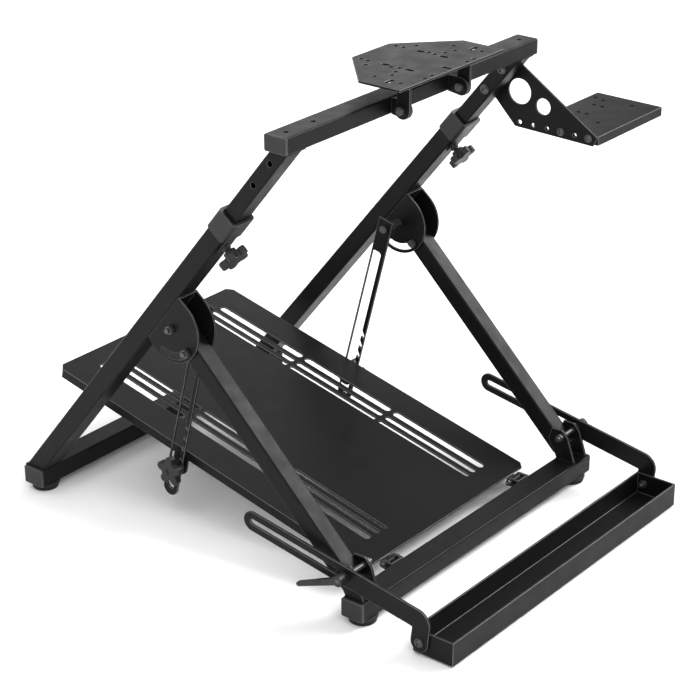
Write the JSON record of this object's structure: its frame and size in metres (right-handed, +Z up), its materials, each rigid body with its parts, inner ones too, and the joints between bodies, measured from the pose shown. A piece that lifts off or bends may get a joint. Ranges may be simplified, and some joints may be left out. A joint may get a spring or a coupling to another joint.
{
  "type": "folding racing wheel and pedal stand",
  "caption": "Folding stand that carries a steering wheel base, a slotted pedal deck, a side shifter plate and a castor tray on an open black tube frame.",
  "frame": {"origin": "on the floor in the stand's middle plane, midway between the two floor crossbars", "axes": "+X to the user's right, +Y away from the user, +Z up from the floor"},
  "size_m": [0.8029, 0.8601, 0.752],
  "materials": {
    "black_steel": "satin powder coat",
    "bolt_steel": "blackened zinc",
    "black_plastic": "matte",
    "black_rubber": "matte"
  },
  "bodies": {
    "frame": {"far_crossbar": "black_steel", "far_end_caps": "black_plastic", "far_feet": "black_rubber", "post_left": "black_steel", "post_right": "black_steel", "collar_left": "black_plastic", "collar_right": "black_plastic", "hinge_left": "black_steel", "hinge_right": "black_steel", "pivot_bolts": "bolt_steel"},
    "legs": {"brace_left": "black_steel", "brace_right": "black_steel", "near_crossbar": "black_steel", "near_end_caps": "black_plastic", "near_feet": "black_rubber", "brace_brackets": "black_steel", "pedal_clevises": "black_steel", "lock_bolts": "bolt_steel"},
    "mast": {"inner_tube_left": "black_steel", "inner_tube_right": "black_steel", "top_crossbar": "black_steel", "top_end_caps": "black_plastic", "plate_brackets": "black_steel", "tilt_bolts": "bolt_steel", "shifter_bracket": "black_steel", "shifter_plate": "black_steel"},
    "wheel_deck": {"wheel_plate": "black_steel"},
    "pedal_deck": {"pedal_plate": "black_steel"},
    "left_strap": {"strap_left": "black_steel"},
    "right_strap": {"strap_right": "black_steel"},
    "clamp": {"clamp_bolts": "bolt_steel"},
    "tray": {"arm_left": "black_steel", "arm_right": "black_steel", "castor_tray": "black_steel"},
    "left_lever": {"lever_left": "black_plastic"},
    "right_lever": {"lever_right": "black_plastic"},
    "left_post_knob": {"post_knob_left": "black_plastic"},
    "right_post_knob": {"post_knob_right": "black_plastic"},
    "left_strap_knob": {"strap_knob_left": "black_plastic"},
    "right_strap_knob": {"strap_knob_right": "black_plastic"}
  },
  "joints": [
    {"name": "brace_fold", "type": "hinge", "parent": "frame", "child": "legs", "pos_m": [0, 0.01428, 0.37256], "axis": [1, 0, 0], "range_deg": [0, 69]},
    {"name": "height_slide", "type": "slide", "parent": "frame", "child": "mast", "axis": [0, -0.627, 0.779], "range_m": [-0.045, 0.15]},
    {"name": "wheel_tilt", "type": "hinge", "parent": "mast", "child": "wheel_deck", "pos_m": [0, -0.23799, 0.70302], "axis": [1, 0, 0], "range_deg": [-15, 15]},
    {"name": "pedal_tilt", "type": "hinge", "parent": "legs", "child": "pedal_deck", "pos_m": [0, -0.292, 0.034], "axis": [1, 0, 0], "range_deg": [0, 12]},
    {"name": "strap_swing_left", "type": "hinge", "parent": "legs", "child": "left_strap", "pos_m": [-0.2185, 0.01428, 0.37256], "axis": [1, 0, 0], "range_deg": [-1.2, 0]},
    {"name": "strap_swing_right", "type": "hinge", "parent": "legs", "child": "right_strap", "pos_m": [0.2185, 0.01428, 0.37256], "axis": [1, 0, 0], "range_deg": [-1.2, 0]},
    {"name": "arm_tilt", "type": "hinge", "parent": "legs", "child": "clamp", "pos_m": [0, -0.318, 0.081], "axis": [-1, 0, 0], "range_deg": [0, 22]},
    {"name": "tray_slide", "type": "slide", "parent": "clamp", "child": "tray", "axis": [0, -0.9866, -0.1633], "range_m": [0, 0.165]},
    {"name": "lever_turn_left", "type": "hinge", "parent": "clamp", "child": "left_lever", "pos_m": [-0.312, -0.318, 0.081], "axis": [1, 0, 0], "range_deg": [0, 90]},
    {"name": "lever_turn_right", "type": "hinge", "parent": "clamp", "child": "right_lever", "pos_m": [0.312, -0.318, 0.081], "axis": [1, 0, 0], "range_deg": [0, 90]},
    {"name": "post_knob_turn_left", "type": "hinge", "parent": "frame", "child": "left_post_knob", "pos_m": [-0.2745, -0.06576, 0.53022], "axis": [0, -0.779, -0.627], "continuous": true},
    {"name": "post_knob_turn_right", "type": "hinge", "parent": "frame", "child": "right_post_knob", "pos_m": [0.2745, -0.06576, 0.53022], "axis": [0, -0.779, -0.627], "continuous": true},
    {"name": "strap_knob_turn_left", "type": "hinge", "parent": "pedal_deck", "child": "left_strap_knob", "pos_m": [-0.229, 0.0887, 0.08734], "axis": [1, 0, 0], "continuous": true},
    {"name": "strap_knob_turn_right", "type": "hinge", "parent": "pedal_deck", "child": "right_strap_knob", "pos_m": [0.229, 0.0887, 0.08734], "axis": [1, 0, 0], "continuous": true}
  ]
}
